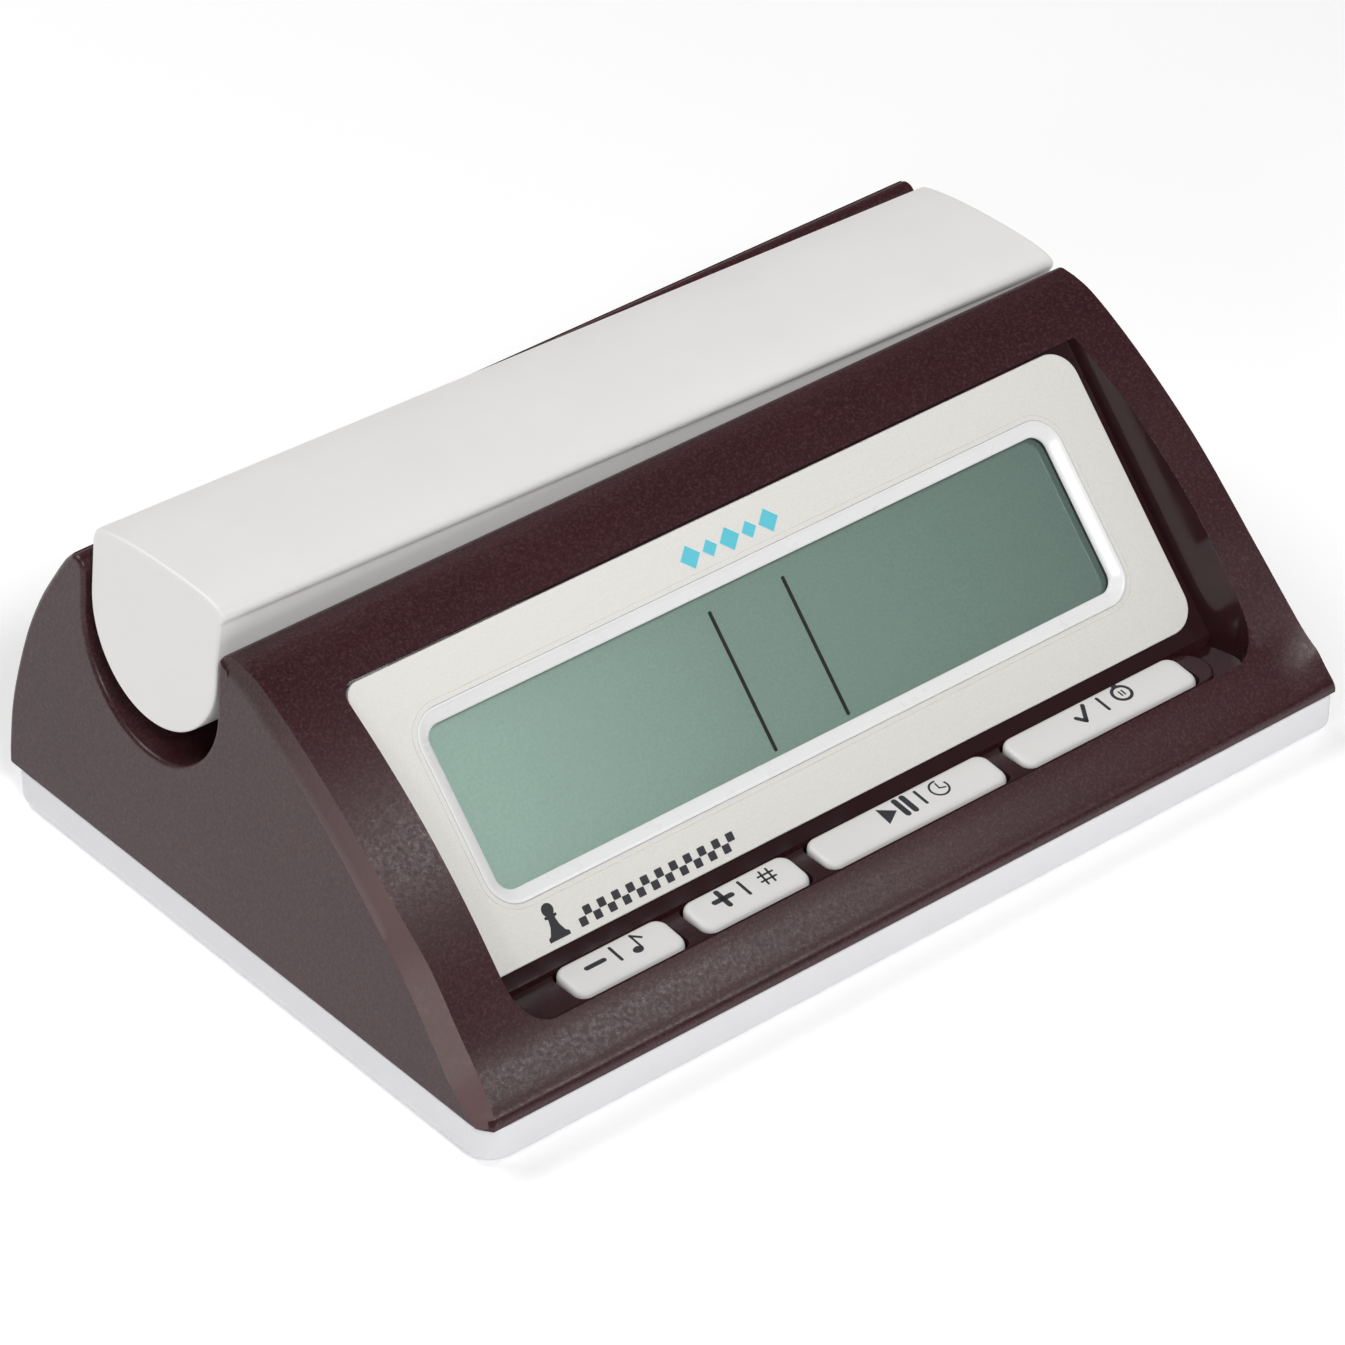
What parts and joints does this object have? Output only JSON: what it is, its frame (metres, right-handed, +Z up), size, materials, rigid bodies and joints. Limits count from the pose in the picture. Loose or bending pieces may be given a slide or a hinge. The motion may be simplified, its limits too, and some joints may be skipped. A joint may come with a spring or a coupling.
{
  "type": "chess clock",
  "caption": "Digital chess clock with a full-width rocker bar over a sloping display, a row of keys, a two-part case and the working parts inside.",
  "frame": {"origin": "centre of the clock's footprint, on the surface it stands on", "axes": "+X to the right along the rocker as seen from the display side, +Y to the back, +Z up"},
  "size_m": [0.155, 0.1078, 0.0571],
  "materials": {
    "maroon_plastic": "fine satin texture",
    "white_plastic": "satin",
    "tray_plastic": "satin",
    "silver_panel": "fine silver grain",
    "clear_lens": "clear, polished",
    "lcd_glass": "grey-green reflective display",
    "key_plastic": "satin",
    "grey_plastic": "satin",
    "black_plastic": "matte",
    "rubber": "matte",
    "circuit_board": "green solder mask",
    "plated_steel": "nickel plated",
    "cell_sleeve": "printed sleeve, plain"
  },
  "bodies": {
    "base": {"bottom_tray": "tray_plastic", "upper_case": "maroon_plastic", "face_panel": "silver_panel", "window_frame": "white_plastic", "window_lens": "clear_lens", "lcd_front_glass": "lcd_glass", "lcd_rear_glass": "lcd_glass", "lcd_holder": "grey_plastic", "zebra_strip": "rubber", "main_pcb": "circuit_board", "controller_chip": "black_plastic", "quartz_crystal": "plated_steel", "supply_capacitor": "black_plastic", "pcb_screw_1": "plated_steel", "pcb_screw_2": "plated_steel", "pcb_screw_3": "plated_steel", "pcb_screw_4": "plated_steel", "keypad_mat": "rubber", "key_pcb": "circuit_board", "pivot_bracket": "grey_plastic", "bracket_screw_1": "plated_steel", "bracket_screw_2": "plated_steel", "plunger_spring_left": "plated_steel", "plunger_spring_right": "plated_steel", "switch_left": "black_plastic", "switch_right": "black_plastic", "switch_board_left": "circuit_board", "switch_board_right": "circuit_board", "battery_cell_1": "cell_sleeve", "battery_cell_2": "cell_sleeve", "battery_spring_1": "plated_steel", "battery_spring_2": "plated_steel", "contact_link": "plated_steel", "contact_plus": "plated_steel", "contact_minus": "plated_steel", "power_switch": "plated_steel", "piezo_buzzer": "black_plastic", "case_screw_1": "plated_steel", "case_screw_2": "plated_steel", "case_screw_3": "plated_steel", "case_screw_4": "plated_steel", "foot_1": "rubber", "foot_2": "rubber", "foot_3": "rubber", "foot_4": "rubber"},
    "rocker": {"rocker": "white_plastic", "rocker_keel": "white_plastic", "pivot_pin": "plated_steel", "keel_screw_1": "plated_steel", "keel_screw_2": "plated_steel"},
    "plunger_left": {"plunger_left": "grey_plastic"},
    "plunger_right": {"plunger_right": "grey_plastic"},
    "key_1": {"key_1": "key_plastic"},
    "key_2": {"key_2": "key_plastic"},
    "key_3": {"key_3": "key_plastic"},
    "key_4": {"key_4": "key_plastic"},
    "battery_door": {"battery_door": "tray_plastic"},
    "power_switch_knob": {"power_switch_knob": "black_plastic"}
  },
  "joints": [
    {"name": "rocker_tilt", "type": "hinge", "parent": "base", "child": "rocker", "pos_m": [0, 0.0203, 0.0345], "axis": [0, -1, 0], "range_deg": [0, 3.8]},
    {"name": "plunger_left_slide", "type": "slide", "parent": "base", "child": "plunger_left", "axis": [0, 0, -1], "range_m": [0, 0.00266], "deforming": ["plunger_spring_left"]},
    {"name": "plunger_right_slide", "type": "slide", "parent": "base", "child": "plunger_right", "axis": [0, 0, 1], "range_m": [0, 0.00266], "deforming": ["plunger_spring_right"]},
    {"name": "key_1_press", "type": "slide", "parent": "base", "child": "key_1", "axis": [0, 0, -1], "range_m": [0, 0.001], "stiffness_N_per_m": 800, "springref_m": -0.0004},
    {"name": "key_2_press", "type": "slide", "parent": "base", "child": "key_2", "axis": [0, 0, -1], "range_m": [0, 0.001], "stiffness_N_per_m": 800, "springref_m": -0.0004},
    {"name": "key_3_press", "type": "slide", "parent": "base", "child": "key_3", "axis": [0, 0, -1], "range_m": [0, 0.001], "stiffness_N_per_m": 800, "springref_m": -0.0004},
    {"name": "key_4_press", "type": "slide", "parent": "base", "child": "key_4", "axis": [0, 0, -1], "range_m": [0, 0.001], "stiffness_N_per_m": 800, "springref_m": -0.0004},
    {"name": "battery_door_slide", "type": "slide", "parent": "base", "child": "battery_door", "axis": [0, 1, 0], "range_m": [0, 0.042]},
    {"name": "power_switch_slide", "type": "slide", "parent": "base", "child": "power_switch_knob", "axis": [1, 0, 0], "range_m": [0, 0.003]}
  ],
  "couplings": [
    {"joint": "plunger_left_slide", "follows": "rocker_tilt", "m_per_rad": 0.04},
    {"joint": "plunger_right_slide", "follows": "rocker_tilt", "m_per_rad": 0.04}
  ]
}
